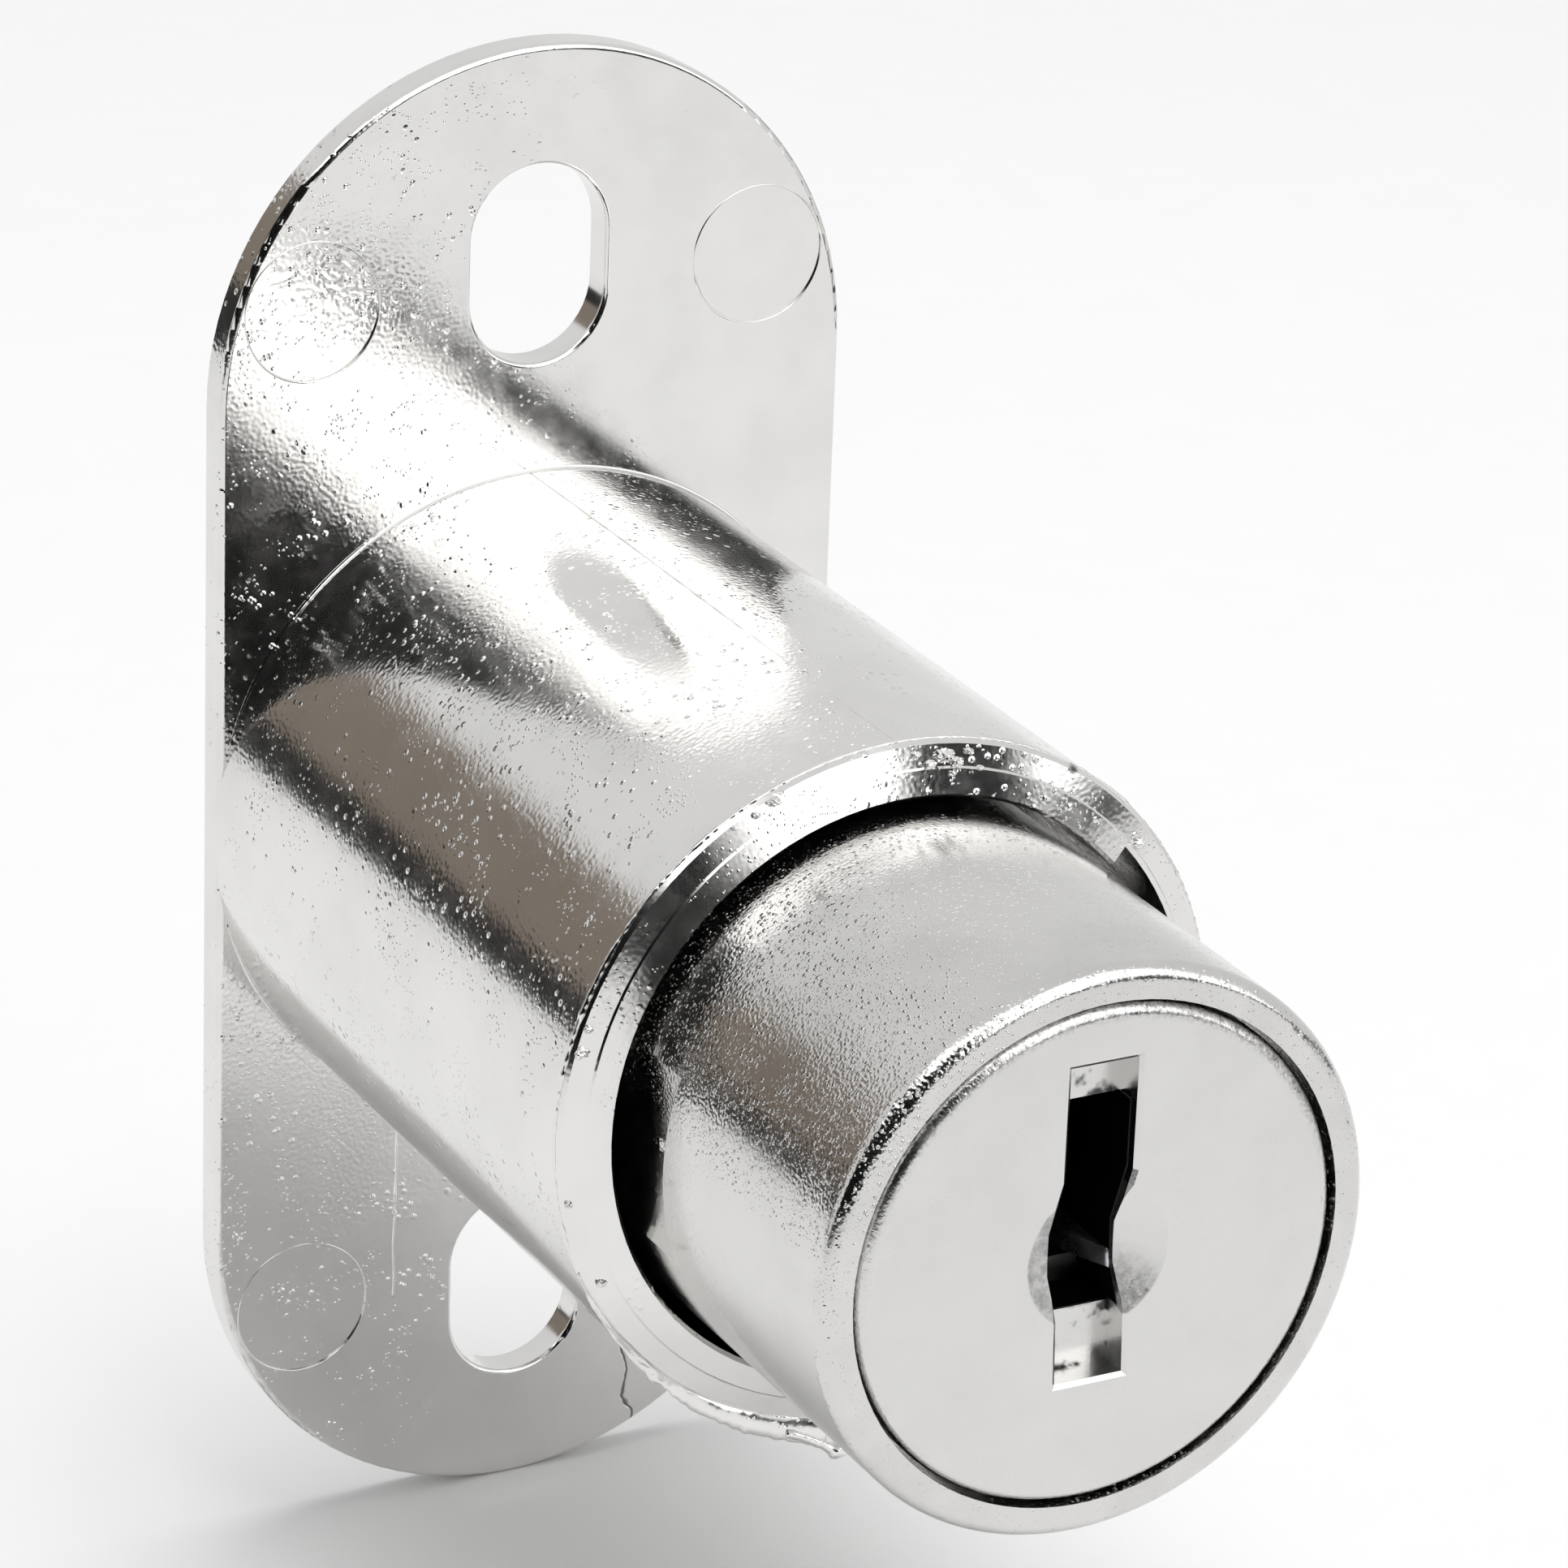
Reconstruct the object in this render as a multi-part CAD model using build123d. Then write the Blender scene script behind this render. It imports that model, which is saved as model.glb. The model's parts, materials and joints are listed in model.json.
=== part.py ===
"""Push-in plunger lock with a screw-on flange, in its open state with the plunger out.

Lengths are in millimetres and angles in degrees.  +Z runs up the flange.  The lock axis is Y, and
the front of the lock looks along -Y.  The origin is on the lock axis, at the face of the flange
that seats on the door.  A station is a distance in front of that face: station s is at y = -s.
Plan angles are counted from +X towards +Z, seen from the front.
"""

import os
from math import cos, radians, sin

from build123d import *

# Flange
FLANGE_WIDTH = 21.8
FLANGE_HEIGHT = 50.2
FLANGE_THICKNESS = 1.1
FLANGE_EDGE_ROUND = 0.2
SLOT_SPACING = 35.8
SLOT_WIDTH = 4.7
SLOT_LENGTH = 6.6
SLOT_EDGE_ROUND = 0.15
EJECTOR_RADIUS = 2.3
EJECTOR_X = 7.8
EJECTOR_Z = 17.3
EJECTOR_DEPTH = 0.05

# Housing body
BODY_RADIUS = 11.0
BODY_FRONT = 24.8
BODY_EDGE_ROUND = 0.15
BORE_RADIUS = 9.3
RIM_SLOPE = 0.25
RIM_STEP_RADIUS = 10.15
RIM_STEP_DEPTH = 0.06
BORE_LEAD_IN = 0.12
RELIEF_RADIUS = 10.0
RELIEF_HALF_ANGLE = 41.0
RELIEF_BACK = 10.8
WINDOW_BACK = 11.0
WINDOW_FRONT = 14.8
WINDOW_WIDTH = 5.8
LUG_BACK = 14.2
LUG_FRONT = 17.3
LUG_WIDTH = 4.4
LUG_FACE = 8.5
LUG_ROOT = 0.3
CAP_SEAT_RADIUS = 9.6
CAP_SEAT_FRONT = 2.2
RING_GROOVE_RADIUS = 10.05
RING_GROOVE_BACK = 0.15
RING_GROOVE_FRONT = 0.9

# Rear cap and its snap ring
CAP_RADIUS = 9.55
CAP_BACK = 0.9
CAP_HOLE_RADIUS = 4.08
CAP_CHAMFER = 0.3
RING_INNER_RADIUS = 8.7
RING_OUTER_RADIUS = 10.0
RING_BACK = 0.2
RING_FRONT = 0.85
RING_GAP_ANGLE = 40.0
RING_EYE_RADIUS = 1.1
RING_EYE_HOLE_RADIUS = 0.55
RING_EYE_INSET = 0.2

# Barrel (the plunger)
BARREL_RADIUS = 8.9
BARREL_FRONT = 37.2
BARREL_BACK = 14.1
BARREL_EDGE_ROUND = 0.5
HEAD_POCKET_RADIUS = 7.87
HEAD_POCKET_BACK = 35.2
PLUG_BORE_RADIUS = 5.9
WAFER_GROOVE_WIDTH = 7.2
WAFER_GROOVE_REACH = 6.9
WAFER_GROOVE_BACK = 25.05
LATCH_SLOT_BACK = 21.4
LATCH_SLOT_FRONT = 24.4
LATCH_SLOT_WIDTH = 10.2
LATCH_SLOT_FLOOR = 5.9
BULKHEAD_BACK = 20.2
BULKHEAD_HOLE_RADIUS = 2.08
STOP_POCKET_RADIUS = 3.6
STOP_POCKET_DEPTH = 0.75
BARREL_CAVITY_RADIUS = 7.6
FLAT_REACH = 8.4
FLAT_FRONT = 27.5

# Bolt carrier, its pins and the locking bolt
CARRIER_BACK = 12.5
CARRIER_CUP_RADIUS = 7.5
CARRIER_CUP_FRONT = 17.8
CARRIER_CHAMFER = 0.2
SPRING_SEAT = 16.8
SPRING_POCKET_RADIUS = 6.6
PIN_STATION = 16.0
PIN_RADIUS = 0.58
PIN_CLEARANCE = 0.02
PIN_INNER_END = 6.75
PIN_OUTER_END = 8.8
BOLT_RADIUS = 4.0
BOLT_TIP = -0.9
BOLT_TIP_CHAMFER = 0.6
SHANK_RADIUS = 1.45
SHANK_HOLE_RADIUS = 1.5
RIVET_RADIUS = 2.4
RIVET_HEIGHT = 0.6
RIVET_EDGE_ROUND = 0.4

# Plug
HEAD_RADIUS = 7.75
HEAD_BACK = 35.25
HEAD_EDGE_ROUND = 0.4
PLUG_RADIUS = 5.8
PLUG_BACK = 24.45
KEYWAY_WIDTH = 2.2
KEYWAY_CENTRE_X = -0.05
KEYWAY_KINK = 0.45
KEYWAY_TOP = 6.0
KEYWAY_BOTTOM = -3.9
KEYWAY_RECESS = 1.0
KEYWAY_THROUGH_TOP = 4.6
KEYWAY_THROUGH_BOTTOM = -2.0
KEYWAY_END = 24.95
KEYWAY_BEVEL = 0.12
DIMPLE_RADIUS = 2.3
DIMPLE_DEPTH = 0.3
CAM_BACK = 21.55
CAM_BASE_RADIUS = 2.6
CAM_RISE = 1.0
CAM_TURN = 90.0
CAM_RUN_ON = 20.0
CAM_STEPS = 22
STOP_FINGER_RADIUS = 3.4
STOP_FINGER_HALF_ANGLE = 14.0
STOP_FINGER_BACK = 20.75
STOP_CLEARANCE_ANGLE = 2.0
TAIL_RADIUS = 2.0
TAIL_BACK = 18.9
TAIL_GROOVE_RADIUS = 1.5

# Plug washer and clip
WASHER_INNER_RADIUS = 2.1
WASHER_OUTER_RADIUS = 3.8
WASHER_BACK = 19.9
WASHER_FRONT = 20.15
CLIP_INNER_RADIUS = 1.55
CLIP_OUTER_RADIUS = 3.4
CLIP_BACK = 19.3
CLIP_FRONT = 19.75
CLIP_GAP = 2.2
CLIP_END_PLAY = 0.05

# Wafers and their springs
WAFER_COUNT = 5
WAFER_FIRST_STATION = 33.95
WAFER_PITCH = 2.0
WAFER_SEAT_HEIGHTS = [-1.2, -1.8, -0.9, -1.5, -0.6]
WAFER_THICKNESS = 1.2
WAFER_SLOT_THICKNESS = 1.3
WAFER_WIDTH = 6.6
WAFER_SLOT_WIDTH = 6.8
WAFER_RADIUS = 5.72
WAFER_WINDOW_WIDTH = 4.0
WAFER_WINDOW_TOP = 4.9
TAB_OUTER_X = 4.5
TAB_BOTTOM = -1.1
TAB_TOP = -0.1
SPRING_POCKET_OUTER_X = 4.6
SPRING_POCKET_BOTTOM = -2.2
SPRING_POCKET_TOP = 3.0
WAFER_SPRING_X = 3.95
WAFER_SPRING_COIL_RADIUS = 0.42
WAFER_SPRING_WIRE_RADIUS = 0.1
WAFER_SPRING_TURNS = 5

# Latch and its leaf spring
LATCH_BACK = 21.5
LATCH_FRONT = 24.3
LATCH_WIDTH = 10.0
LATCH_WINDOW_WIDTH = 7.9
LATCH_INNER_X = -4.57
LATCH_WINDOW_LEFT_X = -2.79
LATCH_WINDOW_RIGHT_X = 5.0
LATCH_SHOULDER_X = 6.4
LATCH_NOSE_WIDTH = 5.0
LATCH_NOSE_RADIUS = 9.7
LEAF_THICKNESS = 0.2
LEAF_LENGTH = 8.4
LEAF_WIDTH = 2.3
LEAF_CLEARANCE = 0.05

# Return spring
RETURN_COIL_RADIUS = 5.4
RETURN_WIRE_RADIUS = 0.4
RETURN_TURNS = 5

# Lengths of cutting tools
FAR = 30.0
OVERRUN = 1.0


def prism(sketch, back, front):
    """Extrude an XZ sketch along the lock axis, between two stations."""
    return extrude(Plane.XZ.offset(back) * sketch, front - back, dir=(0, -1, 0))


def disc(radius, back, front):
    """Round bar on the lock axis, between two stations."""
    return prism(Circle(radius), back, front)


def span(left, right, bottom, top):
    """Rectangle of an XZ sketch, given by its sides."""
    middle = Pos((left + right) / 2, (bottom + top) / 2)
    return middle * Rectangle(right - left, top - bottom)


def polar(radius, angle):
    """Point of an XZ sketch at a radius and a plan angle."""
    return (radius * cos(radians(angle)), radius * sin(radians(angle)))


def sector(radius, start, end):
    """Pie slice of an XZ sketch, between two plan angles less than 180 degrees apart."""
    steps = 4
    corners = [(0, 0)]
    for step in range(steps + 1):
        corners.append(polar(2 * radius, start + step * (end - start) / steps))
    return Circle(radius) & Polygon(*corners, align=None)


def front_edges(shape):
    """Edges that lie wholly in the shape's foremost plane."""
    return shape.edges().group_by(Axis.Y)[0]


def circles_of(shape, radius):
    """Full or part circles of one radius, the foremost first."""
    round_edges = shape.edges().filter_by(GeomType.CIRCLE)
    return round_edges.filter_by(lambda edge: abs(edge.radius - radius) < 1e-4).sort_by(Axis.Y)


def coil(turns, coil_radius, wire_radius, height):
    """Round-wire spring standing on the XY plane, with both ends inside its height."""
    rise = height - 2 * wire_radius
    path = Pos(0, 0, wire_radius) * Helix(rise / turns, rise, coil_radius)
    section = Plane(origin=path @ 0, z_dir=path % 0) * Circle(wire_radius)
    return sweep(section, path=path, is_frenet=True)


def make_flange():
    """Obround plate with two vertical slots and four shallow ejector marks."""
    outline = Rot(0, 0, 90) * SlotOverall(FLANGE_HEIGHT, FLANGE_WIDTH)
    plate = prism(outline, -FLANGE_THICKNESS, 0)
    plate = fillet(front_edges(plate), FLANGE_EDGE_ROUND)
    slot = Rot(0, 0, 90) * SlotOverall(SLOT_LENGTH, SLOT_WIDTH)
    for side in (1, -1):
        cutter = prism(Pos(0, side * SLOT_SPACING / 2) * slot, -FLANGE_THICKNESS, 0)
        plate -= cutter
    slot_edges = front_edges(plate).filter_by(
        lambda edge: abs(abs(edge.center().Z) - SLOT_SPACING / 2) < SLOT_LENGTH / 2
        and abs(edge.center().X) < SLOT_WIDTH
    )
    plate = fillet(slot_edges, SLOT_EDGE_ROUND)
    for side_x in (1, -1):
        for side_z in (1, -1):
            mark = Pos(side_x * EJECTOR_X, side_z * EJECTOR_Z) * Circle(EJECTOR_RADIUS)
            plate -= prism(mark, -EJECTOR_DEPTH, OVERRUN)
    return plate


def rim_station(radius):
    """Station of the slightly conical front rim of the body at a radius."""
    return BODY_FRONT + (BODY_RADIUS - radius) * RIM_SLOPE


def make_body_tube():
    """Round body with a bore, a sloping front rim and a fine step in that rim."""
    lip_radius = BORE_RADIUS + BORE_LEAD_IN
    lip_station = rim_station(lip_radius)
    step_station = rim_station(RIM_STEP_RADIUS)
    shoulder_radius = BODY_RADIUS - BODY_EDGE_ROUND
    profile = [
        (BORE_RADIUS, 0),
        (BORE_RADIUS, lip_station - BORE_LEAD_IN),
        (lip_radius, lip_station),
        (RIM_STEP_RADIUS, step_station),
        (RIM_STEP_RADIUS + RIM_STEP_DEPTH, step_station - RIM_STEP_DEPTH),
        (shoulder_radius, rim_station(shoulder_radius) - RIM_STEP_DEPTH),
        (BODY_RADIUS, BODY_FRONT - RIM_STEP_DEPTH - BODY_EDGE_ROUND),
        (BODY_RADIUS, 0),
    ]
    outline = Polygon(*[(radius, -station) for radius, station in profile], align=None)
    return revolve(outline, Axis.Y)


def make_housing():
    """Flange and body as one casting, with the stop lug in its bore."""
    casting = make_flange() + make_body_tube()
    casting -= disc(CAP_SEAT_RADIUS, -FLANGE_THICKNESS, CAP_SEAT_FRONT)
    casting -= disc(RING_GROOVE_RADIUS, RING_GROOVE_BACK, RING_GROOVE_FRONT)
    relief = sector(RELIEF_RADIUS, -RELIEF_HALF_ANGLE, RELIEF_HALF_ANGLE)
    casting -= prism(relief, RELIEF_BACK, FAR)
    half_window = WINDOW_WIDTH / 2
    window = span(BORE_RADIUS - OVERRUN, FAR, -half_window, half_window)
    casting -= prism(window, WINDOW_BACK, WINDOW_FRONT)
    half_lug = LUG_WIDTH / 2
    lug = span(-(BORE_RADIUS + LUG_ROOT), -LUG_FACE, -half_lug, half_lug)
    return casting + prism(lug, LUG_BACK, LUG_FRONT)


def make_rear_cap():
    """Disc that closes the housing's back and guides the bolt."""
    cap = disc(CAP_RADIUS, CAP_BACK, CAP_SEAT_FRONT)
    cap -= disc(CAP_HOLE_RADIUS, CAP_BACK, CAP_SEAT_FRONT)
    back_rim = circles_of(cap, CAP_RADIUS)[-1]
    back_hole = circles_of(cap, CAP_HOLE_RADIUS)[-1]
    return chamfer([back_rim, back_hole], CAP_CHAMFER)


def make_cap_snap_ring():
    """Open ring with an eye at each end, gap downwards."""
    outline = Circle(RING_OUTER_RADIUS) - Circle(RING_INNER_RADIUS)
    outline -= sector(FAR, -90 - RING_GAP_ANGLE / 2, -90 + RING_GAP_ANGLE / 2)
    for side in (1, -1):
        spot = Pos(*polar(RING_INNER_RADIUS - RING_EYE_INSET, -90 + side * RING_GAP_ANGLE / 2))
        outline += spot * Circle(RING_EYE_RADIUS)
        outline -= spot * Circle(RING_EYE_HOLE_RADIUS)
    return prism(outline & Circle(RING_OUTER_RADIUS), RING_BACK, RING_FRONT)


def carrier_pin(radius, inner_end, outer_end):
    """Radial pin pointing up at the carrier pins' station."""
    middle = Pos(0, -PIN_STATION, (inner_end + outer_end) / 2)
    return middle * Cylinder(radius, outer_end - inner_end)


def pin_holes():
    """Upper and lower holes for the carrier pins."""
    hole_radius = PIN_RADIUS + PIN_CLEARANCE
    upper = carrier_pin(hole_radius, SPRING_POCKET_RADIUS - OVERRUN, FAR)
    return upper + Rot(0, 180, 0) * upper


def make_barrel():
    """Plunger body: plug bore, latch slot, bulkhead, rear cavity and side flat."""
    barrel = disc(BARREL_RADIUS, BARREL_BACK, BARREL_FRONT)
    barrel = fillet(front_edges(barrel), BARREL_EDGE_ROUND)
    barrel -= disc(HEAD_POCKET_RADIUS, HEAD_POCKET_BACK, BARREL_FRONT)
    barrel -= disc(PLUG_BORE_RADIUS, LATCH_SLOT_BACK, HEAD_POCKET_BACK)
    grooves = Rectangle(WAFER_GROOVE_WIDTH, 2 * WAFER_GROOVE_REACH)
    barrel -= prism(grooves, WAFER_GROOVE_BACK, HEAD_POCKET_BACK)
    half_slot = LATCH_SLOT_WIDTH / 2
    latch_slot = span(-LATCH_SLOT_FLOOR, FAR, -half_slot, half_slot)
    barrel -= prism(latch_slot, LATCH_SLOT_BACK, LATCH_SLOT_FRONT)
    stop_start = 90 - CAM_TURN - STOP_FINGER_HALF_ANGLE - STOP_CLEARANCE_ANGLE
    stop_end = 90 + STOP_FINGER_HALF_ANGLE + STOP_CLEARANCE_ANGLE
    stop_pocket = sector(STOP_POCKET_RADIUS, stop_start, stop_end)
    barrel -= prism(stop_pocket, LATCH_SLOT_BACK - STOP_POCKET_DEPTH, LATCH_SLOT_BACK)
    barrel -= disc(BULKHEAD_HOLE_RADIUS, BULKHEAD_BACK, LATCH_SLOT_BACK)
    barrel -= disc(BARREL_CAVITY_RADIUS, BARREL_BACK, BULKHEAD_BACK)
    flat = span(-FAR, -FLAT_REACH, -BARREL_RADIUS, BARREL_RADIUS)
    barrel -= prism(flat, BARREL_BACK, FLAT_FRONT)
    return barrel - pin_holes()


def make_bolt_carrier():
    """Cup that closes the barrel's back, with the spring pocket round the bolt."""
    carrier = disc(BARREL_RADIUS, CARRIER_BACK, BARREL_BACK)
    carrier += disc(CARRIER_CUP_RADIUS, BARREL_BACK, CARRIER_CUP_FRONT)
    carrier -= disc(SPRING_POCKET_RADIUS, CARRIER_BACK, SPRING_SEAT)
    carrier -= disc(SHANK_HOLE_RADIUS, SPRING_SEAT, CARRIER_CUP_FRONT)
    carrier = chamfer(circles_of(carrier, BARREL_RADIUS)[-1], CARRIER_CHAMFER)
    return carrier - pin_holes()


def make_carrier_pins():
    """Two radial pins, above and below the axis."""
    upper = carrier_pin(PIN_RADIUS, PIN_INNER_END, PIN_OUTER_END)
    return Compound(children=[upper, Rot(0, 180, 0) * upper])


def make_locking_bolt():
    """Round bolt with a riveted shank through the carrier."""
    bolt = disc(BOLT_RADIUS, BOLT_TIP, SPRING_SEAT)
    bolt = chamfer(circles_of(bolt, BOLT_RADIUS)[-1], BOLT_TIP_CHAMFER)
    bolt += disc(SHANK_RADIUS, SPRING_SEAT, CARRIER_CUP_FRONT)
    rivet = disc(RIVET_RADIUS, CARRIER_CUP_FRONT, CARRIER_CUP_FRONT + RIVET_HEIGHT)
    rivet = fillet(front_edges(rivet), RIVET_EDGE_ROUND)
    return bolt + rivet


def make_return_spring():
    """Compression spring between the rear cap and the carrier."""
    spring = coil(
        RETURN_TURNS, RETURN_COIL_RADIUS, RETURN_WIRE_RADIUS, SPRING_SEAT - CAP_SEAT_FRONT
    )
    return Pos(0, -CAP_SEAT_FRONT, 0) * Rot(90, 0, 0) * spring


def keyway_outline(bottom, top):
    """Keyway section between two heights: straight, with one kink to the left."""
    stations = [
        (KEYWAY_TOP, 0.0),
        (2.5, 0.0),
        (0.9, 1.0),
        (-0.4, 0.9),
        (-1.9, 0.15),
        (KEYWAY_BOTTOM, 0.0),
    ]
    half = KEYWAY_WIDTH / 2
    right = []
    left = []
    for height, share in stations:
        centre = KEYWAY_CENTRE_X - share * KEYWAY_KINK
        right.append((centre + half, height))
        left.append((centre - half, height))
    outline = Polygon(*(right + left[::-1]), align=None)
    return outline & span(-FAR, FAR, bottom, top)


def cam_outline():
    """Base circle with a spiral whose reach to the left grows evenly as the plug turns."""
    rise_per_degree = CAM_RISE / CAM_TURN
    corners = [(0, 0)]
    for step in range(CAM_STEPS + 1):
        turn = step * (CAM_TURN + CAM_RUN_ON) / CAM_STEPS
        corners.append(polar(CAM_BASE_RADIUS + rise_per_degree * turn, 180 + turn))
    return Circle(CAM_BASE_RADIUS) + Polygon(*corners, align=None)


def wafer_station(index):
    """Station of a wafer's middle, the front wafer first."""
    return WAFER_FIRST_STATION - index * WAFER_PITCH


def wafer_slot():
    """Cross slot of the plug for one wafer, with the pocket for its spring."""
    main = Rectangle(WAFER_SLOT_WIDTH, 2 * PLUG_RADIUS + OVERRUN)
    pocket = span(0, SPRING_POCKET_OUTER_X, SPRING_POCKET_BOTTOM, SPRING_POCKET_TOP)
    return main + pocket


def make_plug():
    """Turning core: face with keyway and dimple, wafer slots, cam, stop finger and tail."""
    head = disc(HEAD_RADIUS, HEAD_BACK, BARREL_FRONT)
    head = fillet(front_edges(head), HEAD_EDGE_ROUND)
    ball_radius = (DIMPLE_RADIUS**2 + DIMPLE_DEPTH**2) / (2 * DIMPLE_DEPTH)
    ball_station = BARREL_FRONT + ball_radius - DIMPLE_DEPTH
    head -= Pos(0, -ball_station, 0) * Sphere(ball_radius)
    keyway = keyway_outline(KEYWAY_BOTTOM, KEYWAY_TOP)
    head -= prism(keyway, BARREL_FRONT - KEYWAY_RECESS, BARREL_FRONT)
    mouth = Plane.XZ.offset(BARREL_FRONT) * offset(keyway, KEYWAY_BEVEL, kind=Kind.INTERSECTION)
    head -= extrude(mouth, KEYWAY_BEVEL, dir=(0, 1, 0), taper=45)
    core = disc(PLUG_RADIUS, PLUG_BACK, HEAD_BACK)
    core += head
    core += prism(cam_outline(), CAM_BACK, PLUG_BACK)
    finger_start = 90 - STOP_FINGER_HALF_ANGLE
    finger_end = 90 + STOP_FINGER_HALF_ANGLE
    finger = sector(STOP_FINGER_RADIUS, finger_start, finger_end)
    core += prism(finger, STOP_FINGER_BACK, CAM_BACK)
    core += disc(TAIL_RADIUS, TAIL_BACK, CAM_BACK)
    tail_groove = Circle(TAIL_RADIUS) - Circle(TAIL_GROOVE_RADIUS)
    core -= prism(tail_groove, CLIP_BACK - CLIP_END_PLAY, CLIP_FRONT + CLIP_END_PLAY)
    half_slot = WAFER_SLOT_THICKNESS / 2
    for index in range(WAFER_COUNT):
        station = wafer_station(index)
        core -= prism(wafer_slot(), station - half_slot, station + half_slot)
    through = keyway_outline(KEYWAY_THROUGH_BOTTOM, KEYWAY_THROUGH_TOP)
    return core - prism(through, KEYWAY_END, BARREL_FRONT)


def make_wafer(index):
    """Wafer at the shear line, with a window whose seat height belongs to the key."""
    outline = Circle(WAFER_RADIUS) & Rectangle(WAFER_WIDTH, FAR)
    outline += span(0, TAB_OUTER_X, TAB_BOTTOM, TAB_TOP)
    half_window = WAFER_WINDOW_WIDTH / 2
    seat = WAFER_SEAT_HEIGHTS[index]
    outline -= span(-half_window, half_window, seat, WAFER_WINDOW_TOP)
    station = wafer_station(index)
    half = WAFER_THICKNESS / 2
    return prism(outline, station - half, station + half)


def make_wafer_spring(index):
    """Small coil spring above a wafer's tab."""
    spring = coil(
        WAFER_SPRING_TURNS,
        WAFER_SPRING_COIL_RADIUS,
        WAFER_SPRING_WIRE_RADIUS,
        SPRING_POCKET_TOP - TAB_TOP,
    )
    return Pos(WAFER_SPRING_X, -wafer_station(index), TAB_TOP) * spring


def make_latch():
    """Yoke round the cam, with a nose towards +X."""
    half = LATCH_WIDTH / 2
    half_window = LATCH_WINDOW_WIDTH / 2
    half_nose = LATCH_NOSE_WIDTH / 2
    outline = span(LATCH_INNER_X, LATCH_SHOULDER_X, -half, half)
    nose = span(0, FAR, -half_nose, half_nose) & Circle(LATCH_NOSE_RADIUS)
    outline += nose
    outline -= span(LATCH_WINDOW_LEFT_X, LATCH_WINDOW_RIGHT_X, -half_window, half_window)
    return prism(outline, LATCH_BACK, LATCH_FRONT)


def make_latch_spring():
    """Bowed leaf between the latch slot's floor and the yoke."""
    wall_x = -LATCH_SLOT_FLOOR + LEAF_CLEARANCE
    crown_x = LATCH_INNER_X - LEAF_CLEARANCE
    bow = crown_x - wall_x
    outer_radius = (LEAF_LENGTH**2 / 4 + bow**2) / (2 * bow)
    ring = Circle(outer_radius) - Circle(outer_radius - LEAF_THICKNESS)
    leaf = Pos(crown_x - outer_radius, 0) * ring
    leaf &= span(wall_x, crown_x + OVERRUN, -LEAF_LENGTH / 2, LEAF_LENGTH / 2)
    middle = (LATCH_BACK + LATCH_FRONT) / 2
    return prism(leaf, middle - LEAF_WIDTH / 2, middle + LEAF_WIDTH / 2)


def make_plug_washer():
    """Thin thrust washer behind the bulkhead."""
    outline = Circle(WASHER_OUTER_RADIUS) - Circle(WASHER_INNER_RADIUS)
    return prism(outline, WASHER_BACK, WASHER_FRONT)


def make_plug_clip():
    """Retaining clip in the tail's groove, open downwards."""
    outline = Circle(CLIP_OUTER_RADIUS) - Circle(CLIP_INNER_RADIUS)
    outline -= span(-CLIP_GAP / 2, CLIP_GAP / 2, -FAR, 0)
    return prism(outline, CLIP_BACK, CLIP_FRONT)


def main():
    """Build every piece and write one file for each."""
    pieces = {
        "housing": make_housing(),
        "rear_cap": make_rear_cap(),
        "cap_snap_ring": make_cap_snap_ring(),
        "barrel": make_barrel(),
        "bolt_carrier": make_bolt_carrier(),
        "carrier_pins": make_carrier_pins(),
        "locking_bolt": make_locking_bolt(),
        "return_spring": make_return_spring(),
        "plug": make_plug(),
        "plug_washer": make_plug_washer(),
        "plug_clip": make_plug_clip(),
        "latch": make_latch(),
        "latch_spring": make_latch_spring(),
    }
    for index in range(WAFER_COUNT):
        pieces[f"wafer_{index + 1}"] = make_wafer(index)
        pieces[f"wafer_spring_{index + 1}"] = make_wafer_spring(index)
    os.makedirs("parts", exist_ok=True)
    for name, piece in pieces.items():
        export_step(piece, f"parts/{name}.step")


main()
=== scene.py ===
"""Looks of the push-in plunger lock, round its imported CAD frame.

Lengths are in metres.  +Z runs up the flange, the lock axis is Y and its front looks along -Y.
Plan angles are counted from +X towards +Z, seen from the front.
"""

import json
import math

import bmesh
import bpy
from mathutils import Matrix, Vector, noise


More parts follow.
